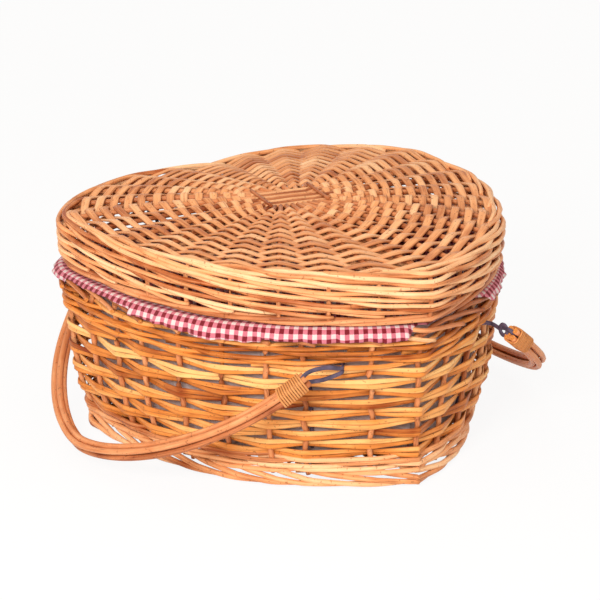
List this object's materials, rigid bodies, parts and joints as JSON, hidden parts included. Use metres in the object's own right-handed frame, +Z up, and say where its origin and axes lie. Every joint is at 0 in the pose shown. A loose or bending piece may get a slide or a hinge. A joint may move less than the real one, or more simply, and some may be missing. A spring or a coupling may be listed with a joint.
{
  "type": "picnic basket",
  "caption": "Heart-shaped willow picnic basket with a deep hinged woven lid, a gingham lining turned out over the rim, and bail handles on leather laces.",
  "frame": {"origin": "on the floor, in the middle of the whole part's box, which is in the heart's plane of symmetry", "axes": "+Z up, -Y towards the heart's tip, which is the front, +Y towards the hinges, +X to the right seen from the front"},
  "size_m": [0.4844, 0.441, 0.2198],
  "materials": {
    "golden_willow": "varnished split willow",
    "peeled_willow": "varnished peeled willow",
    "buff_willow": "varnished buff willow rod",
    "cane": "split cane",
    "gingham": "red and white woven cotton check",
    "leather": "dark dull thong"
  },
  "bodies": {
    "basket": {"stake_frame": "buff_willow", "foot_wale_1": "golden_willow", "foot_wale_2": "golden_willow", "foot_wale_3": "golden_willow", "side_row_1": "golden_willow", "side_row_2": "golden_willow", "side_row_3": "golden_willow", "side_row_4": "golden_willow", "side_row_5": "golden_willow", "side_row_6": "golden_willow", "side_row_7": "golden_willow", "side_row_8": "golden_willow", "side_row_9": "golden_willow", "rim_wale_1": "golden_willow", "rim_wale_2": "golden_willow", "rim_wale_3": "golden_willow", "rim_wale_4": "golden_willow", "base_sticks": "buff_willow", "base_floor": "golden_willow", "lining_bag": "gingham", "lining_ruffle": "gingham", "hinge_loop_right": "leather", "hinge_loop_left": "leather", "handle_left_lace_front": "leather", "handle_left_lace_rear": "leather", "handle_right_lace_front": "leather", "handle_right_lace_rear": "leather"},
    "lid": {"lid_spokes": "buff_willow", "lid_stakes": "buff_willow", "lid_skirt_1": "peeled_willow", "lid_skirt_2": "peeled_willow", "lid_skirt_3": "peeled_willow", "lid_skirt_4": "peeled_willow", "lid_skirt_5": "peeled_willow", "lid_ring_1": "peeled_willow", "lid_ring_2": "peeled_willow", "lid_ring_3": "peeled_willow", "lid_ring_4": "peeled_willow", "lid_ring_5": "peeled_willow", "lid_ring_6": "peeled_willow", "lid_ring_7": "peeled_willow", "lid_ring_8": "peeled_willow"},
    "handle_left": {"handle_left_rod_1": "buff_willow", "handle_left_rod_2": "buff_willow", "handle_left_rod_3": "buff_willow", "handle_left_rod_4": "buff_willow", "handle_left_binding_front": "cane", "handle_left_binding_rear": "cane"},
    "handle_right": {"handle_right_rod_1": "buff_willow", "handle_right_rod_2": "buff_willow", "handle_right_rod_3": "buff_willow", "handle_right_rod_4": "buff_willow", "handle_right_binding_front": "cane", "handle_right_binding_rear": "cane"}
  },
  "joints": [
    {"name": "lid_hinge", "type": "hinge", "parent": "basket", "child": "lid", "pos_m": [0, 0.18378, 0.16636], "axis": [-1, 0, 0], "range_deg": [0, 90]},
    {"name": "handle_left_swing", "type": "hinge", "parent": "basket", "child": "handle_left", "pos_m": [-0.10174, -0.18115, 0.12942], "axis": [0.0271, 0.9996, 0], "range_deg": [-4, 70]},
    {"name": "handle_right_swing", "type": "hinge", "parent": "basket", "child": "handle_right", "pos_m": [0.10174, -0.18115, 0.12942], "axis": [0.0271, -0.9996, 0], "range_deg": [-4, 70]}
  ]
}
